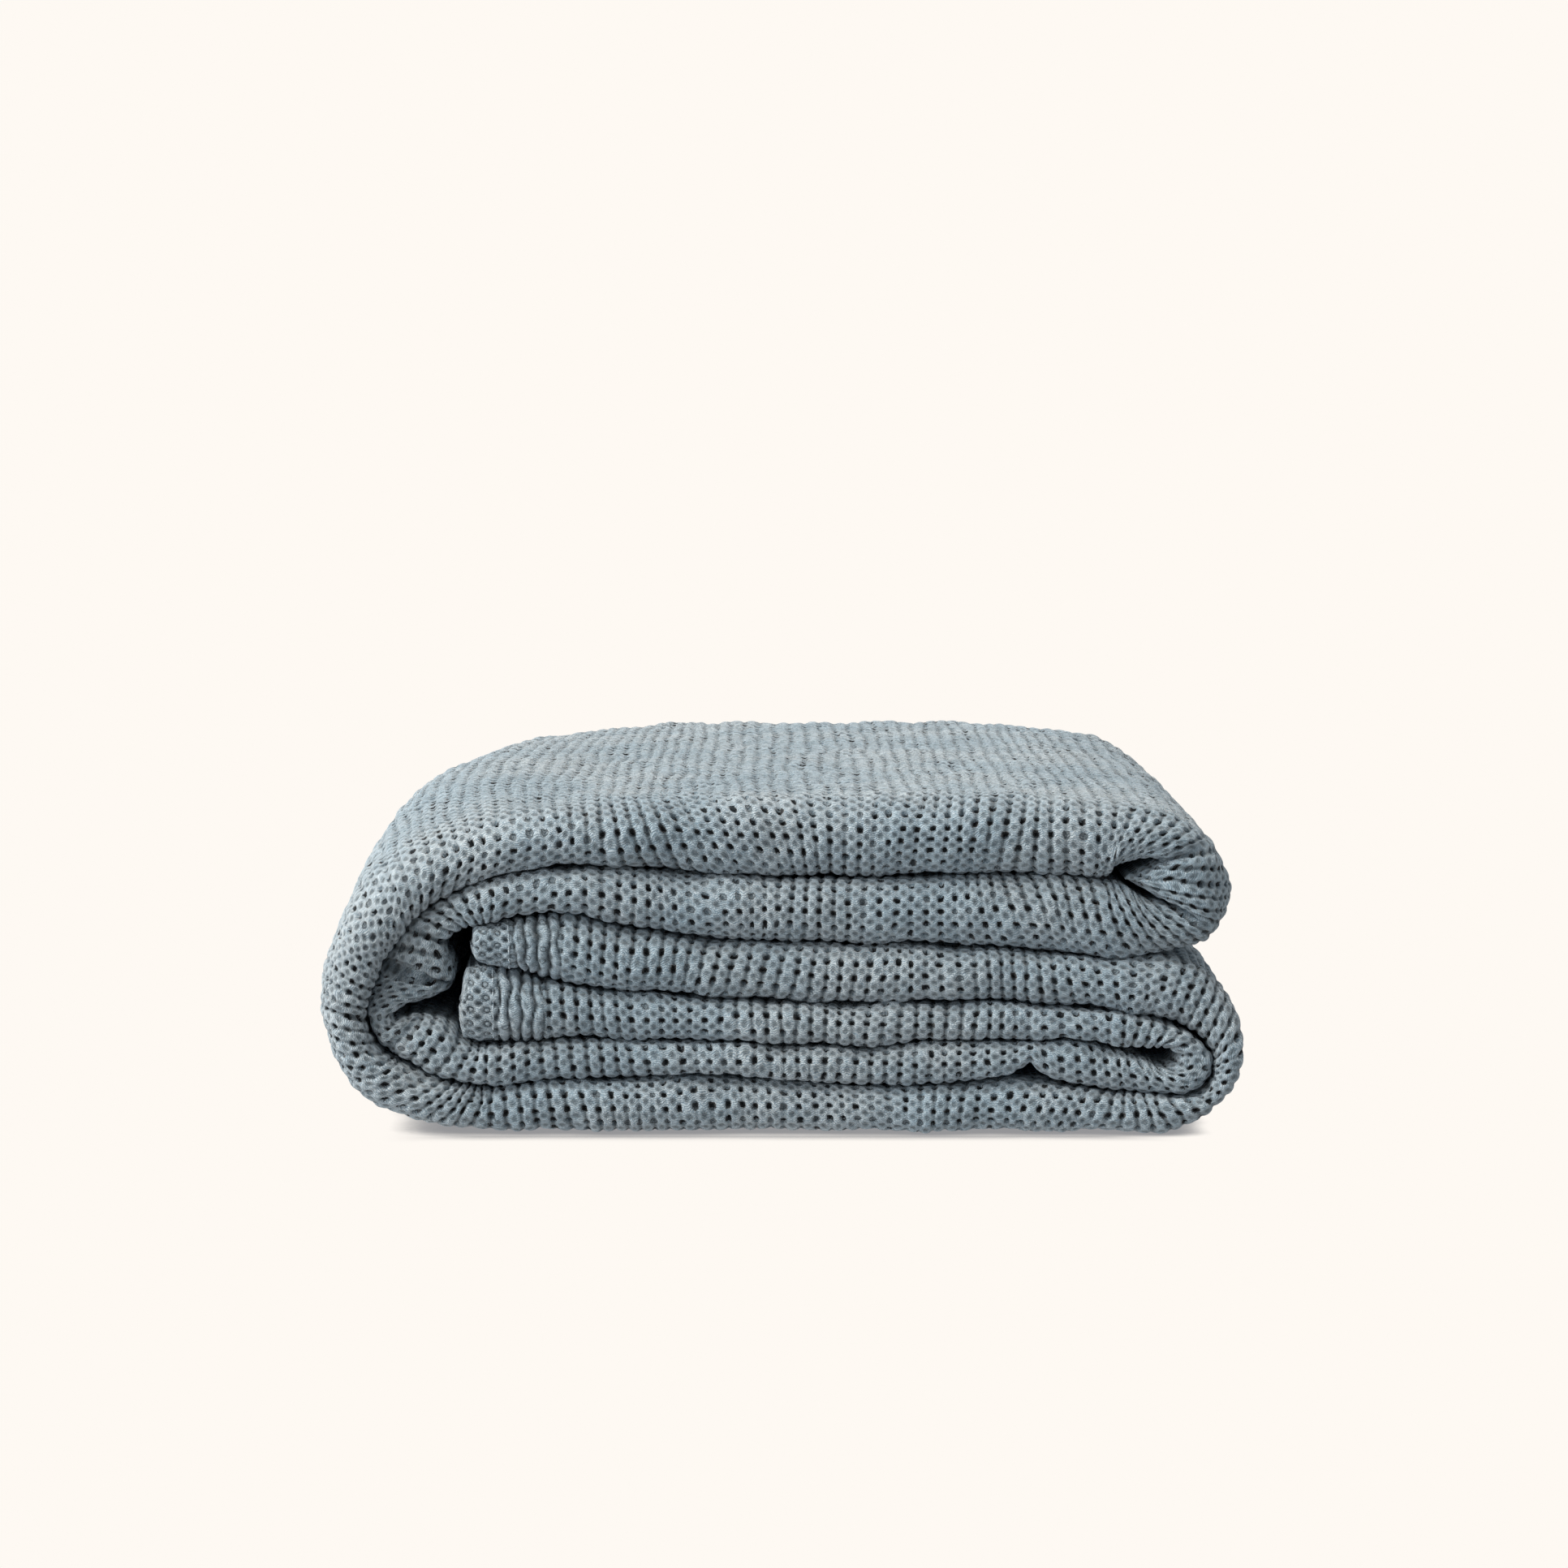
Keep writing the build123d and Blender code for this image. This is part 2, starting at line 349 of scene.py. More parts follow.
HEM = 14.0  # depth of each hem
RIBS = 14.8  # woven ribs beyond each hem
RIB_PITCH = 3.7
RIB_DEPTH = 2.3
HEM_ROUNDING = 3.0  # at the throw's two ends
HEM_RING = 0.22  # radius of the small rings in the hems, in cells
PLAIN_EDGE = (2.5, 5.0)  # the selvedges are plain to here, and fully woven from here


def from_hem(s):
    """Distance from the nearer hemmed end."""
    return np.minimum(s, S_END - s)


def lattice(s, v):
    """Cell coordinates of the weave, pulled about as soft cloth is."""
    lean = 0.16 * waves(s, 0 * s, 130, 14) * np.clip(v, -20, 20) / PITCH_V
    p = s / PITCH_S + lean
    p = p + 0.22 * waves(s, 0.3 * v, 70, 1) + 0.14 * waves(s, 0.4 * v, 24, 2) + 0.05 * waves(s, v, 9, 3)
    q = v / PITCH_V
    q = q + 0.34 * waves(s, v, 80, 4) + 0.18 * waves(0.6 * s, v, 24, 5) + 0.06 * waves(s, v, 10, 6)
    return p, q


def relief(s, v, p, q):
    """Height of the weave, how open each pit is, how much shade is painted on a point, and how far it is a
    rib.
    """
    i, j = np.round(p), np.round(q)
    hx = p - 0.5 - np.round(p - 0.5)
    hy = q - 0.5 - np.round(q - 0.5)

    # pits, open in patches and nearly closed between them
    open_pit = smoothstep(0.10, 0.36, cell_random(i, j, 1) + 0.28 * waves(s, v, 38, 7))
    fx = p - i + 0.16 * (cell_random(i, j, 2) - 0.5)
    fy = q - j + 0.16 * (cell_random(i, j, 3) - 0.5)
    wide = PIT_HALF + 0.06 * (cell_random(i, j, 5) - 0.5)
    from_pit = (np.abs(fx / wide) ** 4 + np.abs(fy / PIT_HALF) ** 4) ** (1 / 4)
    pit = smoothstep(1.3, 0.9, from_pit)

    # dimples, the grooves between columns of pads, and the pads; the columns show more in some places
    on_top = top_share(s) * smoothstep(12, 22, v)
    soft = 0.5 + 0.5 * cell_random(i, j, 4)
    dimple = smoothstep(1.5, 0.2, np.hypot(hx / 0.21, hy / 0.24)) * soft
    groove = np.exp(-(((p - i) / 0.15) ** 2))
    pad = np.exp(-((hx / 0.30) ** 2 + (fy / 0.30) ** 2))
    ribbed = smoothstep(-0.6, 0.8, waves(s, v, 50, 9)) * (1 - 0.8 * on_top)
    weave = (
        -(0.28 + 0.27 * ribbed) * groove + 0.30 * (pad - 0.6)
        - DIMPLE * dimple * (1 - 0.5 * ribbed) - PIT * (0.35 + 0.65 * open_pit) * pit
    )
    # painted shade: darker in the grooves and dimples, and round open pits, most on the top face
    shade = groove * (0.25 + 0.70 * ribbed) + 0.70 * dimple * (1 - 0.5 * ribbed)
    shade = shade + smoothstep(2.0, 1.0, from_pit) * open_pit * (0.15 + 0.45 * on_top)

    # hems and the ribs beside them
    ends = from_hem(s) + 0.5 * waves(s, v, 18, 8)
    hem = 1 - smoothstep(HEM - 1.5, HEM + 0.5, ends)
    rib = smoothstep(HEM - 1.5, HEM + 0.5, ends) * (1 - smoothstep(HEM + RIBS - 1, HEM + RIBS + 1.5, ends))
    ring = np.exp(-(((np.hypot(fx, fy) - HEM_RING) / 0.08) ** 2))
    hem_height = -0.9 * ring - 1.6 * dimple - 0.5 * (1 - pad)
    ridge = np.abs(np.sin(math.pi * (ends - HEM + 0.55 * waves(s, v, 8, 10)) / RIB_PITCH)) ** 0.5
    knobs = np.cos(math.tau * (q + 0.5 * cell_random(i, 0 * j, 6)))
    rib_height = (RIB_DEPTH + 0.3 * knobs) * (ridge - 1) - 0.7 * dimple + 0.25 * knobs
    # painted shade in the hems' dimples and rings, and in the grooves between the ribs
    hem_shade = dimple + 0.45 * ring
    rib_shade = 2.3 * (0.84 - ridge) - 0.30 * knobs

    height = weave * (1 - hem) * (1 - rib) + hem_height * hem + rib_height * rib
    # how much shade is painted on each point
    cavity = shade * (1 - hem) * (1 - rib) + hem_shade * hem + rib_shade * rib
    return height, open_pit, np.clip(cavity, 0, 1), rib


# ---------------------------------------------------------------- large shape

SHOULDER_X, SHOULDER_Z = -108, 100  # middle of the top left shoulder
LEFT_SWELL = 3.2  # how far the left side stands out behind the front
SHOULDER_OUT = 10.5  # how far the shoulder does, and how far up
SHOULDER_UP = 8.0
RIGHT_SWELL = 1.5
BACK_RISE = 2.4  # how much higher the top is at the back
STACK_HEIGHT = 112


def settle(x, y, z):
    """How the soft stack departs from straight depth: its left side and shoulder swell behind the front."""
    back = np.clip((y - Y_FRONT) / DEPTH, 0, 1)
    swell = np.sin(math.pi * back ** 0.7) + 0.45 * back
    to_left = np.clip((-50 - x) / 100, 0, 1)
    to_right = np.clip((x - 110) / 40, 0, 1)
    shoulder = np.exp(-((x - SHOULDER_X) / 42) ** 2 - ((z - SHOULDER_Z) / 30) ** 2)
    high = np.clip(z / STACK_HEIGHT, 0, 1) ** 2
    out = LEFT_SWELL * swell * to_left ** 1.3 + SHOULDER_OUT * swell * shoulder
    new_x = x - out + RIGHT_SWELL * np.sin(math.pi * back) * to_right
    new_z = z + SHOULDER_UP * swell * shoulder + BACK_RISE * back * high
    return new_x, y, new_z


# Creases pinched into the front fold: where along the strip, half width, depth
TUCKS = [
    (PLACES["left_inner_upper"][1], 30.0, 9.0),
    (PLACES["left_inner_upper"][2], 1.6, 7.0),
    (PLACES["left_inner_upper"][4], 1.4, 2.5),
    (PLACES["left_inner_lower"][2], 1.6, 3.0),
    (PLACES["left_outer_lower"][0], 2.5, 3.0),
    (PLACES["top_nose"][3], 2.0, 3.0),
    (PLACES["top_nose"][9], 2.0, 2.5),
]


def tuck_depth(s):
    """How far the front fold is pinched back, where the soft turn is creased."""
    depth = 0 * s
    for where, width, deep in TUCKS:
        depth = depth + deep * np.exp(-((s - where) / width) ** 2)
    return depth


FLOOR_GAP = 0.05  # nothing is lower than this


def surface(first, last, face_steps):
    """Points, weave coordinates and row data of the strip's columns first to last."""
    margin = 2  # more columns at each end, so that neighbouring pieces share their slope
    low, high = max(first - margin, 0), min(last + margin, len(S) - 1)
    s = S[low:high + 1]
    a, b = FACE_A[low:high + 1], FACE_B[low:high + 1]
    thickness = np.linalg.norm(a - b, axis=1)
    ky, kz, marks = knots_of(thickness, s)
    cum = np.concatenate(
        [np.zeros((len(s), 1)), np.cumsum(np.hypot(np.diff(ky, axis=1), np.diff(kz, axis=1)), axis=1)], axis=1
    )
    lengths, visible, weight = row_lengths(cum, marks, face_steps)
    y = np.empty_like(lengths)
    h = np.empty_like(lengths)
    for c in range(len(s)):
        y[c] = np.interp(lengths[c], cum[c], ky[c])
        h[c] = np.interp(lengths[c], cum[c], kz[c])
    v = lengths - cum[:, marks["front"]][:, None]
    ss = np.repeat(s[:, None], lengths.shape[1], axis=1)

    # the hemmed ends are closed and rounded
    end = np.clip(1 - from_hem(ss) / HEM_ROUNDING, 0, 1)
    squeeze = np.sqrt(np.clip(1 - end ** 2, 0.02, 1))
    f = 0.5 + (h / thickness[:, None] - 0.5) * squeeze
    y = y + (1 - squeeze) * 2.5 * (y < DEPTH / 2) - (1 - squeeze) * 2.0 * (y >= DEPTH / 2)

    near_front = smoothstep(40, 5, np.abs(v))
    y = y + Y_FRONT + 1.0 + 0.9 * waves(ss, 0 * ss, 95, 21) + tuck_depth(ss) * near_front
    x = b[:, None, 0] + (a[:, None, 0] - b[:, None, 0]) * f
    z = b[:, None, 1] + (a[:, None, 1] - b[:, None, 1]) * f
    x, y, z = settle(x, y, z)
    points = np.stack([x, y, z], axis=2)

    along = np.gradient(points, axis=0)
    across = np.gradient(points, axis=1)
    normal = np.cross(across, along)
    normal /= np.linalg.norm(normal, axis=2, keepdims=True) + 1e-9
    p, q = lattice(ss, v)

    # the weave shows where the cloth lies open, and blurs and strays where a turn gathers it
    ratio = np.linalg.norm(along, axis=2) / (PITCH_S / CELL_STEPS)
    from_selvedge = np.minimum(lengths - lengths[:, :1], lengths[:, -1:] - lengths)
    spread = smoothstep(0.15, 0.5, ratio) * smoothstep(*PLAIN_EDGE, from_selvedge)
    stray = smoothstep(1.0, 0.4, ratio) * visible[None, :]
    p = p + 0.40 * stray * waves(x, z, 12, 35)
    q = q + 0.50 * stray * waves(x, z, 12, 36)
    height, open_pit, cavity, rib = relief(ss, v, p, q)
    # painted shade only on rows that show
    cavity = cavity * visible[None, :]
    gathered = 0.9 * waves(0.5 * ss, v, 9, 33) + 0.5 * waves(ss, v, 5, 34)
    wrinkle = 0.50 * waves(ss, v, 30, 31) + 0.25 * waves(ss, v, 12, 32) + (1 - spread) * gathered * 0.5
    points = points + normal * ((height * spread + wrinkle) * visible[None, :])[:, :, None]
    points[:, :, 2] = np.maximum(points[:, :, 2], FLOOR_GAP)

    keep = slice(first - low, first - low + last - first + 1)
    fields = {
        "points": points, "normal": normal, "s": s, "v": v, "p": p, "q": q,
        "open": open_pit, "cavity": cavity, "rib": rib, "spread": spread,
    }
    grid = {name: field[keep] for name, field in fields.items()}
    grid["weight"] = weight
    return grid


# ---------------------------------------------------------------- meshes

def new_object(name, mesh, material):
    obj = bpy.data.objects.new(name, mesh)
    bpy.context.scene.collection.objects.link(obj)
    mesh.materials.append(material)
    return obj


def grid_mesh(name, grid):
    """A mesh of quads over a grid of points, with the weave's coordinates and a bake layout."""
    points = grid["points"] * MM
    columns, rows = points.shape[:2]
    index = np.arange(columns * rows).reshape(columns, rows)
    quads = np.stack([index[:-1, :-1], index[:-1, 1:], index[1:, 1:], index[1:, :-1]], axis=2).reshape(-1, 4)
    mesh = bpy.data.meshes.new(name)
    mesh.vertices.add(columns * rows)
    mesh.vertices.foreach_set("co", points.reshape(-1).astype(np.float32))
    mesh.loops.add(quads.size)
    mesh.loops.foreach_set("vertex_index", quads.reshape(-1).astype(np.int32))
    mesh.polygons.add(len(quads))
    mesh.polygons.foreach_set("loop_start", np.arange(0, quads.size, 4, dtype=np.int32))
    mesh.update(calc_edges=True)
    mesh.shade_smooth()
    corners = quads.reshape(-1)
    across = np.cumsum(grid["weight"])
    across = np.concatenate([[0], across[:-1]]) / across[-1]
    along = (grid["s"] - grid["s"][0]) / (grid["s"][-1] - grid["s"][0])
    bake = np.stack(np.broadcast_arrays(along[:, None], across[None, :]), axis=2).reshape(-1, 2)
    weave = np.stack([grid["p"], grid["q"]], axis=2).reshape(-1, 2)
    for layer, coordinates in (("OFBake", bake), ("weave", weave)):
        uv = mesh.uv_layers.new(name=layer)
        uv.data.foreach_set("uv", coordinates[corners].reshape(-1).astype(np.float32))
    # the attributes: how open each pit is, how much shade is painted on each point, ribs, and how far the
    # weave shows
    for layer in ("open", "cavity", "rib", "spread"):
        attribute = mesh.attributes.new(layer, "FLOAT", "POINT")
        attribute.data.foreach_set("value", grid[layer].reshape(-1).astype(np.float32))
    return mesh


def column_at(s):
    return int(np.clip(np.searchsorted(S, s), 0, len(S) - 1))


# ---------------------------------------------------------------- materials

class Nodes:
    """Short helpers for building one material's node tree."""

    def __init__(self, name):
        self.material = bpy.data.materials.new(name)
        self.material.use_nodes = True
        self.tree = self.material.node_tree
        self.tree.nodes.clear()

    def add(self, kind, **settings):
        node = self.tree.nodes.new(kind)
        for key, value in settings.items():
            setattr(node, key, value)
        return node

    def wire(self, source, target):
        self.tree.links.new(source, target)

    def feed(self, socket, value):
        if isinstance(value, bpy.types.NodeSocket):
            self.wire(value, socket)
        else:
            socket.default_value = value

    def math(self, operation, a, b=0.0, c=0.0, clamp=False):
        node = self.add("ShaderNodeMath", operation=operation, use_clamp=clamp)
        for socket, value in zip(node.inputs, (a, b, c)):
            self.feed(socket, value)
        return node.outputs[0]

    def ramp(self, value, low, high):
        """0 below low, 1 above high, smooth between; high may be under low."""
        node = self.add("ShaderNodeMapRange", interpolation_type="SMOOTHSTEP")
        self.feed(node.inputs["Value"], value)
        flip = high < low
        node.inputs["From Min"].default_value = min(low, high)
        node.inputs["From Max"].default_value = max(low, high)
        node.inputs["To Min"].default_value = 1.0 if flip else 0.0
        node.inputs["To Max"].default_value = 0.0 if flip else 1.0
        return node.outputs["Result"]

    def mix(self, factor, a, b):
        node = self.add("ShaderNodeMix", data_type="RGBA")
        self.feed(node.inputs["Factor"], factor)
        self.feed(node.inputs["A"], a)
        self.feed(node.inputs["B"], b)
        return node.outputs["Result"]

    def noise(self, vector, scale, detail=2.0, roughness=0.5):
        node = self.add("ShaderNodeTexNoise", noise_dimensions="3D")
        self.wire(vector, node.inputs["Vector"])
        node.inputs["Scale"].default_value = scale
        node.inputs["Detail"].default_value = detail
        node.inputs["Roughness"].default_value = roughness
        return node.outputs["Fac"]


TWILL = 0.62  # pitch of the twill lines on each pad

# Feature sizes of the materials' noise, as scales per metre
WOBBLE, FUZZ, STRAY, SLUB, CLOUD = 900.0, 1500.0, 420.0, 240.0, 22.0

BASE = (0.462, 0.610, 0.732, 1)
WASHED = (0.650, 0.760, 0.845, 1)
SHADED = (0.200, 0.308, 0.410, 1)
# painted shade: the near-black deep in the weave's pits
PIT_SHADE = (0.005, 0.009, 0.013, 1)
# painted shade for the grooves, dimples, rings round closed pits and other hollows
GROOVE_SHADE = (0.050, 0.075, 0.096, 1)


def cloth_material(name, is_hem=False):
    """Garment-washed cotton: honeycomb pits, twill lines, fuzz, uneven colour and a soft sheen."""
    n = Nodes(name)
    weave = n.add("ShaderNodeUVMap", uv_map="weave").outputs["UV"]
    place = n.add("ShaderNodeTexCoord").outputs["Object"]
    open_pit = n.add("ShaderNodeAttribute", attribute_name="open").outputs["Fac"]
    rib = n.add("ShaderNodeAttribute", attribute_name="rib").outputs["Fac"]
    cavity = n.add("ShaderNodeAttribute", attribute_name="cavity").outputs["Fac"]
    spread = n.add("ShaderNodeAttribute", attribute_name="spread").outputs["Fac"]

    wobble = n.add("ShaderNodeTexNoise", noise_dimensions="3D")
    n.wire(place, wobble.inputs["Vector"])
    wobble.inputs["Scale"].default_value = WOBBLE
    wobble.inputs["Detail"].default_value = 1.0
    shift = n.add("ShaderNodeVectorMath", operation="MULTIPLY_ADD")
    n.wire(wobble.outputs["Color"], shift.inputs[0])
    shift.inputs[1].default_value = (0.20, 0.22, 0)
    n.wire(weave, shift.inputs[2])
    split = n.add("ShaderNodeSeparateXYZ")
    n.wire(shift.outputs[0], split.inputs[0])
    p = n.math("SUBTRACT", split.outputs["X"], 0.10)
    q = n.math("SUBTRACT", split.outputs["Y"], 0.11)

    def offset_from_cell(value, centre):
        moved = n.math("SUBTRACT", value, centre)
        return n.math("SUBTRACT", moved, n.math("ROUND", moved))

    fx, fy = offset_from_cell(p, 0.0), offset_from_cell(q, 0.0)
    hx, hy = offset_from_cell(p, 0.5), offset_from_cell(q, 0.5)

    def radius(x, y, wide, high, power):
        along = n.math("POWER", n.math("ABSOLUTE", n.math("DIVIDE", x, wide)), power)
        across = n.math("POWER", n.math("ABSOLUTE", n.math("DIVIDE", y, high)), power)
        return n.math("POWER", n.math("ADD", along, across), 1 / power)

    pit = n.ramp(radius(fx, fy, PIT_STAIN, PIT_STAIN, 4.0), 1.10, 0.94)
    dimple = n.ramp(radius(hx, hy, 0.24, 0.26, 2.0), 1.2, 0.4)
    circle = radius(fx, fy, 1.0, 0.9, 2.0)
    ring_line = n.ramp(n.math("ABSOLUTE", n.math("SUBTRACT", circle, 0.20)), 0.055, 0.02)
    closed = n.math("SUBTRACT", 1.0, n.math("MULTIPLY", open_pit, 0.0 if is_hem else 1.0))
    ring = n.math("MULTIPLY", ring_line, closed)

    stray = n.noise(place, STRAY, 2.0, 0.5)
    phase = n.math("MULTIPLY_ADD", split.outputs["Y"], PITCH_V / TWILL, n.math("MULTIPLY", stray, 1.2))
    phase = n.math("MULTIPLY_ADD", n.math("ABSOLUTE", hx), 2.6, phase)
    twill = n.math("MULTIPLY_ADD", n.math("SINE", n.math("MULTIPLY", phase, math.tau)), 0.5, 0.5)
    fuzz = n.noise(place, FUZZ, 4.0, 0.75)
    cloud = n.noise(place, CLOUD, 3.0, 0.55)
    slub = n.noise(place, SLUB, 2.0, 0.5)

    # colour: uneven wash, slubs, twill lines and fuzz, then painted shade in the hollows and in the pits
    colour = n.mix(n.ramp(cloud, 0.35, 0.68), BASE, WASHED)
    colour = n.mix(n.math("MULTIPLY", n.ramp(slub, 0.42, 0.75), 0.35), colour, SHADED)
    colour = n.mix(n.math("MULTIPLY", n.ramp(twill, 0.8, 0.1), 0.75), colour, SHADED)
    colour = n.mix(n.math("MULTIPLY", n.ramp(fuzz, 0.5, 0.68), 0.60), colour, WASHED)
    colour = n.mix(n.math("MULTIPLY", n.ramp(fuzz, 0.50, 0.34), 0.75), colour, SHADED)
    # painted shade in the pits, darker where a pit lies open, less in ribs, hems and gathered turns
    pit_shade_mask = n.math("MULTIPLY", pit, n.math("MULTIPLY_ADD", open_pit, 0.60, 0.35))
    calm = 0.12 if is_hem else 1.0
    pit_shade_mask = n.math("MULTIPLY", n.math("MULTIPLY", pit_shade_mask, n.math("SUBTRACT", 1.0, rib)), calm)
    pit_shade_mask = n.math("MULTIPLY", pit_shade_mask, n.math("MULTIPLY_ADD", spread, 0.75, 0.25))
    # painted shade in the dimples, in the rings round closed pits and in the hollows marked on the mesh
    colour = n.mix(n.math("MULTIPLY", n.math("MULTIPLY", dimple, 0.5), spread), colour, GROOVE_SHADE)
    colour = n.mix(n.math("MULTIPLY", n.math("MULTIPLY", ring, 0.75), spread), colour, GROOVE_SHADE)
    colour = n.mix(n.math("MULTIPLY", n.math("MULTIPLY", cavity, 0.95), spread), colour, GROOVE_SHADE)
    colour = n.mix(pit_shade_mask, colour, PIT_SHADE)

    # fine relief: twill lines and fuzz
    raised = n.math("MULTIPLY", twill, 0.35)
    raised = n.math("ADD", raised, n.math("MULTIPLY", fuzz, 0.75))
    raised = n.math("SUBTRACT", raised, n.math("MULTIPLY", ring, 0.25))
    raised = n.math("SUBTRACT", raised, n.math("MULTIPLY", pit_shade_mask, 0.5))
    bump = n.add("ShaderNodeBump")
    bump.inputs["Strength"].default_value = 0.9
    bump.inputs["Distance"].default_value = 0.0008
    n.wire(raised, bump.inputs["Height"])

    shader = n.add("ShaderNodeBsdfPrincipled")
    n.wire(colour, shader.inputs["Base Color"])
    n.wire(n.math("MULTIPLY_ADD", fuzz, 0.12, 0.84), shader.inputs["Roughness"])
    n.wire(bump.outputs["Normal"], shader.inputs["Normal"])
    shader.inputs["Specular IOR Level"].default_value = 0.18
    shader.inputs["Sheen Weight"].default_value = 0.3
    shader.inputs["Sheen Roughness"].default_value = 0.45
    shader.inputs["Sheen Tint"].default_value = (0.96, 0.97, 0.98, 1)
    output = n.add("ShaderNodeOutputMaterial")
    n.wire(shader.outputs["BSDF"], output.inputs["Surface"])
    return n.material


def thread_material():
    """Tonal sewing thread with its twist."""
    n = Nodes("thread")
    place = n.add("ShaderNodeTexCoord").outputs["Object"]
    twist = n.add("ShaderNodeTexWave", wave_type="BANDS", bands_direction="DIAGONAL")
    n.wire(place, twist.inputs["Vector"])
    twist.inputs["Scale"].default_value = 900.0
    fuzz = n.noise(place, 2500.0)
    colour = n.mix(n.ramp(twist.outputs["Fac"], 0.2, 0.8), SHADED, WASHED)
    bump = n.add("ShaderNodeBump")
    bump.inputs["Strength"].default_value = 0.6
    bump.inputs["Distance"].default_value = 0.0003
    n.wire(twist.outputs["Fac"], bump.inputs["Height"])
    shader = n.add("ShaderNodeBsdfPrincipled")
    n.wire(colour, shader.inputs["Base Color"])
    n.wire(n.math("MULTIPLY_ADD", fuzz, 0.2, 0.6), shader.inputs["Roughness"])
    n.wire(bump.outputs["Normal"], shader.inputs["Normal"])
    shader.inputs["Sheen Weight"].default_value = 0.2
    output = n.add("ShaderNodeOutputMaterial")
    n.wire(shader.outputs["BSDF"], output.inputs["Surface"])
    return n.material


CREAM = (0.991, 0.947, 0.896, 1)
# painted shadow: the grey of the floor where the throw lies close to it
CONTACT_SHADOW = (0.30, 0.30, 0.31, 1)
SHADOW_REACH = 0.008  # metres that the contact shadow reaches round the throw
FRONT_REACH = 0.022  # metres that it reaches ahead of the front folds


def even_light(n, colour):
    """Makes the material give off the same colour from every side."""
    shader = n.add("ShaderNodeEmission")
    n.feed(shader.inputs["Color"], colour)
    output = n.add("ShaderNodeOutputMaterial")
    n.wire(shader.outputs["Emission"], output.inputs["Surface"])


def floor_material():
    """An evenly lit pale sweep, with a shadow painted on only where the throw lies close to it."""
    n = Nodes("floor")
    near = n.add("ShaderNodeAmbientOcclusion", samples=16)
    near.inputs["Distance"].default_value = SHADOW_REACH
    ahead = n.add("ShaderNodeAmbientOcclusion", samples=16)
    ahead.inputs["Distance"].default_value = FRONT_REACH
    ahead.inputs["Normal"].default_value = (0.0, 0.94, 0.34)
    split = n.add("ShaderNodeSeparateXYZ")
    n.wire(n.add("ShaderNodeTexCoord").outputs["Object"], split.inputs[0])
    behind = n.ramp(split.outputs["Y"], (Y_FRONT - 4) * MM, (Y_FRONT + 8) * MM)
    beside = n.ramp(n.math("ABSOLUTE", split.outputs["X"]), 85 * MM, 132 * MM)
    outside = n.math("MAXIMUM", behind, beside)
    open_ahead = n.math("MAXIMUM", n.ramp(ahead.outputs["AO"], 0.42, 0.86), outside)
    lit = n.math("MULTIPLY", n.ramp(near.outputs["AO"], 0.10, 0.80), open_ahead)
    even_light(n, n.mix(lit, CONTACT_SHADOW, CREAM))
    return n.material


def backdrop_material():
    """The same even cream as the floor."""
    n = Nodes("backdrop")
    even_light(n, CREAM)
    return n.material


# ---------------------------------------------------------------- the pieces

WEAVE = cloth_material("weave")
HEM_WEAVE = cloth_material("hem", is_hem=True)
THREAD = thread_material()


def cloth_piece(name, start, end, face_steps, nodes, body=None, hem=False):
    """One stretch of the strip, from s = start to end, riding on a body, or on none."""
    first, last = column_at(start), column_at(end)
    grid = surface(first, last, face_steps)
    obj = new_object(name, grid_mesh(name, grid), HEM_WEAVE if hem else WEAVE)
    if body:
        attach(obj, body)
    else:
        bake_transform(obj)
    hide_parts(*nodes)
    return grid


def point(x, z):
    return (x * MM, 0.0, z * MM)


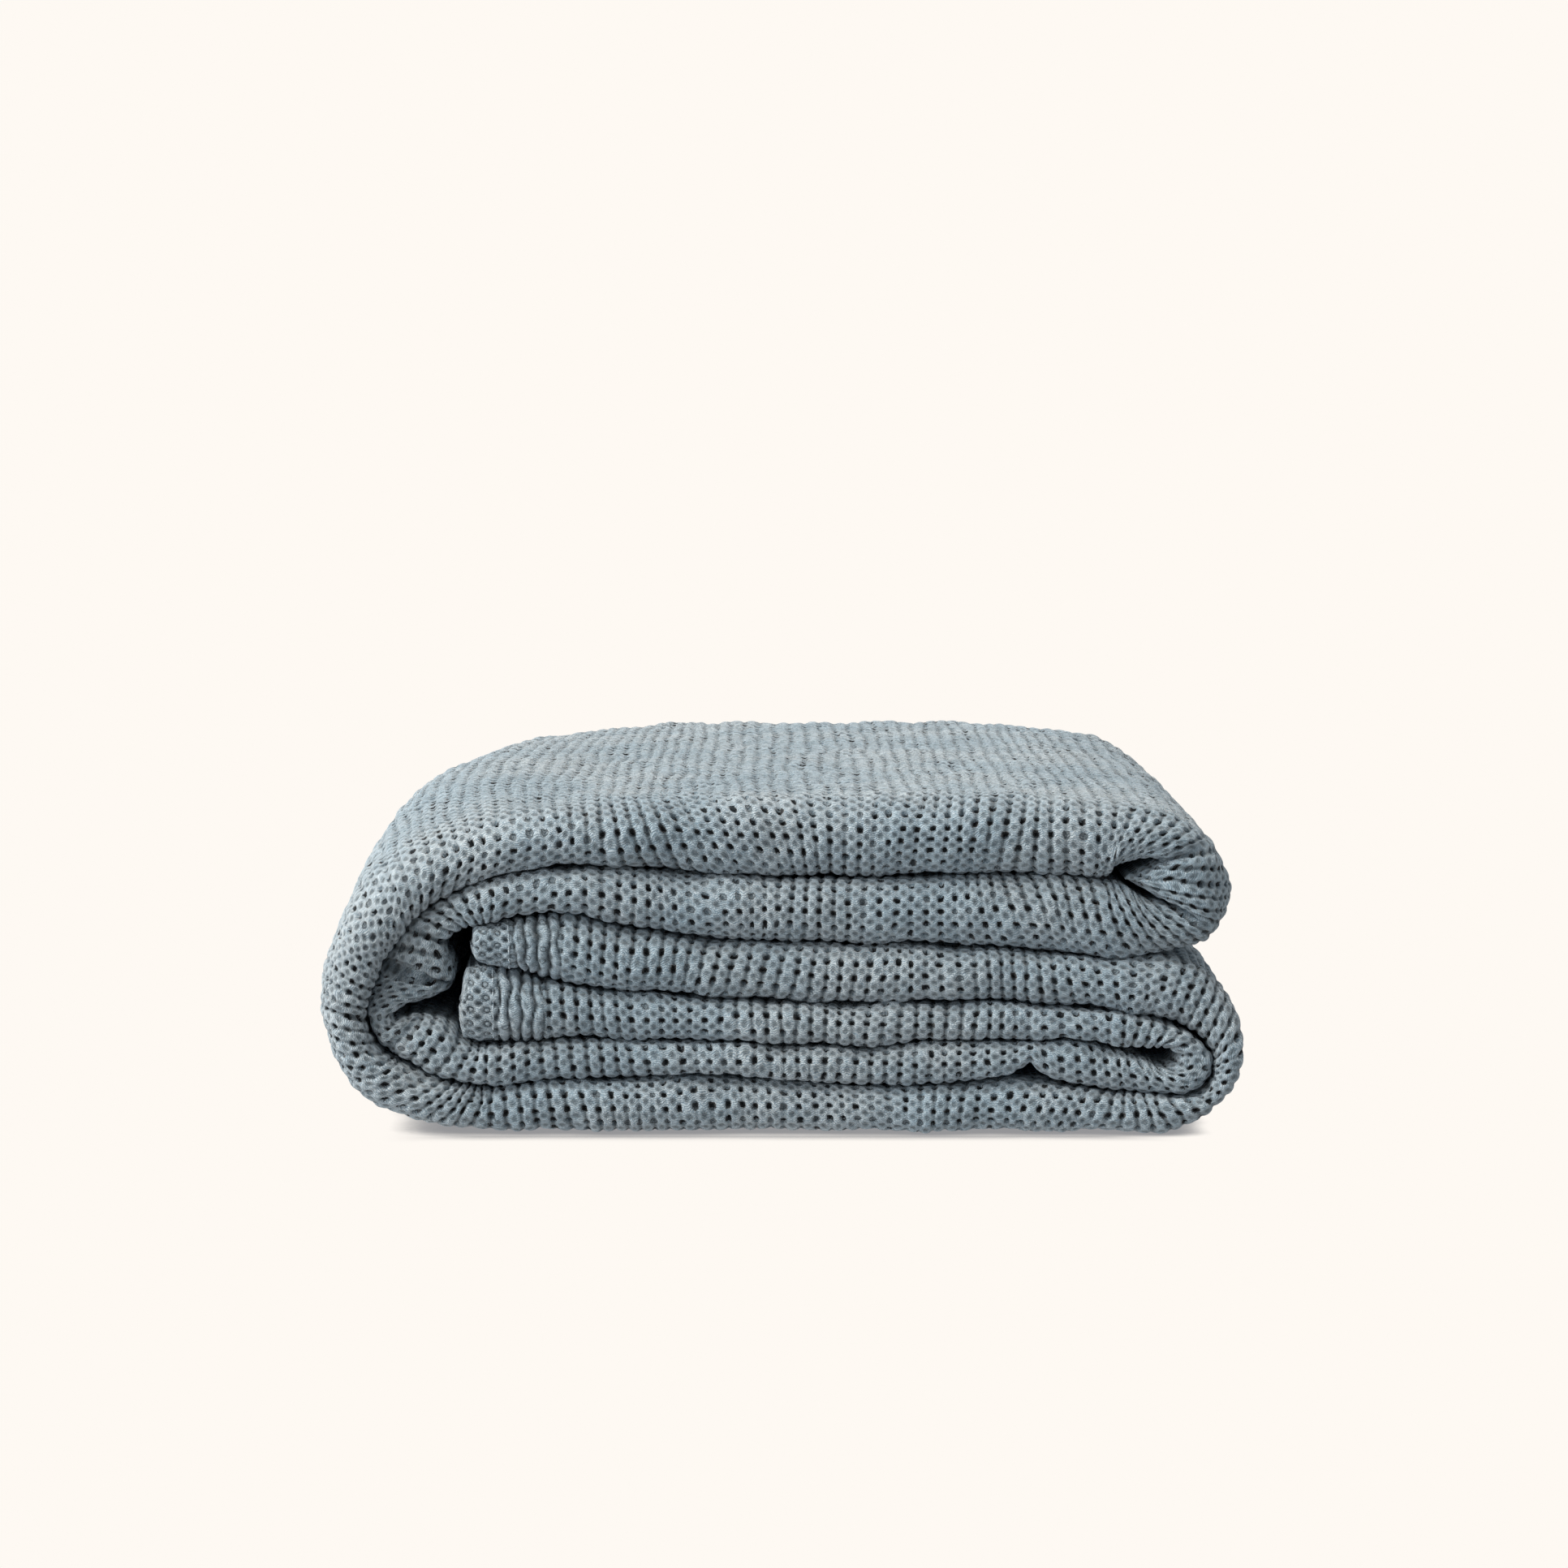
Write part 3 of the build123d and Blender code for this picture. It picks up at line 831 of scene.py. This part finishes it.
def make_cloth():
    """All the cloth pieces; returns the grids of the two hems."""
    at = STARTS
    hem_1 = HEM
    hem_2 = S_END - HEM
    outer_lower = ("base", "left_side", point(-97, 16), point(-135, 56))
    outer_upper = ("left_side", "top_leaves", point(-135, 50), point(-97, 92))
    inner_lower = ("base", "left_side", point(-100, 30), point(-118, 48))
    inner_upper = ("left_side", "top_leaves", point(-125, 50), point(-104, 72))
    fine, opened, hidden = CELL_STEPS, OPENED_STEPS, HIDDEN_STEPS
    for name, start, end, face_steps, nodes, body in (
        ("leaf_1_top", at["leaf_1"], at["left_outer_upper"], fine, ["leaf_1_top"], "top_leaves"),
        ("leaf_2", at["leaf_2"], at["top_nose"], opened, ["leaf_2"], "top_leaves"),
        ("top_turn", at["top_nose"], at["leaf_1"], fine, ["top_turn"], "top_leaves"),
        ("leaf_3", at["leaf_3"], hem_2, opened, ["leaf_3_tucked"], "base"),
        ("leaf_4", hem_1, at["right_inner"], hidden, ["leaf_4_tucked"], "base"),
        ("leaf_5", at["leaf_5"], at["left_inner_lower"], hidden, ["leaf_5"], "base"),
        ("leaf_6", at["leaf_6"], at["right_outer"], hidden, ["leaf_6_bottom"], "base"),
        ("right_turn_inner", at["right_inner"], at["leaf_5"], hidden, ["right_turn_inner"], "base"),
        ("right_turn_outer", at["right_outer"], at["leaf_3"], fine, ["right_turn_outer"], "base"),
    ):
        cloth_piece(name + "_cloth", start, end, face_steps, nodes, body)
    for name, start, end, face_steps, nodes, bend in (
        ("left_turn_outer_upper", at["left_outer_upper"], at["left_outer_lower"], fine,
         ["left_turn_outer_upper"], outer_upper),
        ("left_turn_outer_lower", at["left_outer_lower"], at["leaf_6"], fine,
         ["left_turn_outer_lower", "left_turn_outer_side"], outer_lower),
        ("left_turn_inner_upper", at["left_inner_upper"], at["leaf_2"], opened,
         ["left_turn_inner_upper"], inner_upper),
        ("left_turn_inner_lower", at["left_inner_lower"], at["left_inner_upper"], opened,
         ["left_turn_inner_lower", "left_turn_inner_side"], inner_lower),
    ):
        cloth_piece(name + "_cloth", start, end, face_steps, nodes)
    lower_hem = cloth_piece("lower_hem_cloth", 0, hem_1, hidden, ["lower_hem"], "base", hem=True)
    upper_hem = cloth_piece("upper_hem_cloth", hem_2, S_END, opened, ["upper_hem"], "base", hem=True)
    return lower_hem, upper_hem


STITCH = 3.0
STITCH_GAP = 1.2
THREAD_RADIUS = 0.28
SEWN = 15  # stitches are made this far round from the fold edge, both ways
SEAM_INSET = 1.6  # from a hem's inner edge to its seam
THREAD_RINGS = 9  # rings of vertices along each stitch
THREAD_SIDES = 8


def stitches(name, node, grid, seam_s):
    """Stitches that follow the hem's seam round the front fold, each a short thread sunk at both ends."""
    column = int(np.argmin(np.abs(grid["s"] - seam_s)))
    v, points, normal = grid["v"][column], grid["points"][column], grid["normal"][column]
    vertices, faces = [], []
    rings, sides = THREAD_RINGS, THREAD_SIDES
    count = int(2 * SEWN / (STITCH + STITCH_GAP))
    for k in range(count):
        start = -SEWN + k * (STITCH + STITCH_GAP)
        base = len(vertices)
        for r in range(rings):
            t = r / (rings - 1)
            at_v = start + STITCH * t
            centre = np.array([np.interp(at_v, v, points[:, axis]) for axis in range(3)])
            up = np.array([np.interp(at_v, v, normal[:, axis]) for axis in range(3)])
            ahead = np.array([np.interp(at_v + 0.5, v, points[:, axis]) for axis in range(3)]) - centre
            ahead /= np.linalg.norm(ahead)
            up = up - ahead * np.dot(up, ahead)
            up /= np.linalg.norm(up)
            side = np.cross(ahead, up)
            bow = math.sin(math.pi * t)
            centre = centre + up * (0.45 * bow - 0.15)
            size = THREAD_RADIUS * (0.35 + 0.65 * bow ** 0.5)
            for a in range(sides):
                turn = math.tau * a / sides
                vertices.append((centre + (side * math.cos(turn) + up * math.sin(turn)) * size) * MM)
        for r in range(rings - 1):
            low, high = base + r * sides, base + (r + 1) * sides
            for a in range(sides):
                b = (a + 1) % sides
                faces.append((low + a, low + b, high + b, high + a))
        faces.append(tuple(base + a for a in range(sides))[::-1])
        faces.append(tuple(base + (rings - 1) * sides + a for a in range(sides)))
    mesh = bpy.data.meshes.new(name)
    mesh.from_pydata([tuple(p) for p in vertices], [], faces)
    mesh.shade_smooth()
    obj = new_object(name, mesh, THREAD)
    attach(obj, "base")
    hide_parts(node)


# ---------------------------------------------------------------- camera, floor and light

CAMERA_HEIGHT = 231.0
CAMERA_DISTANCE = 1380.0  # from the front fold edges
CAMERA_TILT = 4.78  # degrees below level
LENS = 98.0
SUN = 3.35
SUN_ANGLE = 40  # degrees; wide, so that its shadows are soft
SUN_COLOUR = (1.0, 0.90, 0.79)
SUN_DIRECTION = (0.68, 0.25, -0.97)
AROUND = 0.48  # level of the light from all round, and what each direction adds to it
FROM_RIGHT, FROM_BEHIND, FROM_ABOVE = 0.07, 0.10, 0.05
FROM_LEFT = 1.8
BACKDROP = 8.0  # metres to the wall of the sweep


def studio_world():
    """Soft light from all round: strongest from the left, and even straight behind the object."""
    world = bpy.data.worlds.new("studio")
    world.use_nodes = True
    tree = world.node_tree
    tree.nodes.clear()

    def maths(operation, *values):
        node = tree.nodes.new("ShaderNodeMath")
        node.operation = operation
        for socket, value in zip(node.inputs, values):
            if isinstance(value, bpy.types.NodeSocket):
                tree.links.new(value, socket)
            else:
                socket.default_value = value
        return node.outputs[0]

    direction = tree.nodes.new("ShaderNodeTexCoord").outputs["Generated"]
    split = tree.nodes.new("ShaderNodeSeparateXYZ")
    tree.links.new(direction, split.inputs[0])
    level = maths("MULTIPLY_ADD", split.outputs["X"], FROM_RIGHT, AROUND)
    leftward = maths("MULTIPLY_ADD", split.outputs["Y"], -0.30, maths("MULTIPLY", split.outputs["X"], -0.95))
    from_left = maths("POWER", maths("MAXIMUM", leftward, 0.0), 3.0)
    level = maths("MULTIPLY_ADD", from_left, FROM_LEFT, level)
    level = maths("MULTIPLY_ADD", split.outputs["Y"], FROM_BEHIND, level)
    level = maths("MULTIPLY_ADD", split.outputs["Z"], FROM_ABOVE, level)
    behind = tree.nodes.new("ShaderNodeMapRange")
    behind.interpolation_type = "SMOOTHSTEP"
    behind.inputs["From Min"].default_value = 0.90
    behind.inputs["From Max"].default_value = 0.97
    tree.links.new(split.outputs["Y"], behind.inputs["Value"])
    rest = maths("SUBTRACT", 1.0, behind.outputs["Result"])
    level = maths("ADD", maths("MULTIPLY", level, rest), behind.outputs["Result"])
    background = tree.nodes.new("ShaderNodeBackground")
    background.inputs["Color"].default_value = CREAM
    tree.links.new(level, background.inputs["Strength"])
    output = tree.nodes.new("ShaderNodeOutputWorld")
    tree.links.new(background.outputs[0], output.inputs["Surface"])
    return world


def make_stage():
    scene = bpy.context.scene
    camera_data = bpy.data.cameras.new("camera")
    camera_data.lens = LENS
    camera_data.sensor_width = 36.0
    camera_data.clip_end = 100.0
    camera = bpy.data.objects.new("camera", camera_data)
    camera.location = (0, (Y_FRONT - CAMERA_DISTANCE) * MM, CAMERA_HEIGHT * MM)
    camera.rotation_euler = (math.radians(90 - CAMERA_TILT), 0, 0)
    scene.collection.objects.link(camera)
    scene.camera = camera

    # one triangle, so that no seam crosses the floor
    mesh = bpy.data.meshes.new("floor")
    mesh.from_pydata([(-18, -10, 0), (18, -10, 0), (0, 21, 0)], [], [(0, 1, 2)])
    floor = new_object("floor", mesh, floor_material())
    floor.visible_diffuse = False

    # the same cream stands all round, out of the light's way
    sides = 96
    ring = [(math.cos(a * math.tau / sides), math.sin(a * math.tau / sides)) for a in range(sides)]
    mesh = bpy.data.meshes.new("backdrop")
    mesh.from_pydata(
        [(BACKDROP * c, BACKDROP * s, z) for z in (-0.5, BACKDROP) for c, s in ring], [],
        [(a, (a + 1) % sides, sides + (a + 1) % sides, sides + a) for a in range(sides)],
    )
    backdrop = new_object("backdrop", mesh, backdrop_material())
    backdrop.visible_diffuse = False
    backdrop.visible_glossy = False
    backdrop.visible_shadow = False

    sun_data = bpy.data.lights.new("sun", "SUN")
    sun_data.energy = SUN
    sun_data.angle = math.radians(SUN_ANGLE)
    sun_data.color = SUN_COLOUR
    sun = bpy.data.objects.new("sun", sun_data)
    sun.rotation_euler = Vector(SUN_DIRECTION).to_track_quat("-Z", "Y").to_euler()
    scene.collection.objects.link(sun)

    scene.world = studio_world()
    scene.view_settings.view_transform = "Standard"
    scene.view_settings.look = "None"


make_stage()
lower_grid, upper_grid = make_cloth()
stitches("lower_hem_stitching", "lower_hem_stitches", lower_grid, HEM - SEAM_INSET)
stitches("upper_hem_stitching", "upper_hem_stitches", upper_grid, S_END - HEM + SEAM_INSET)
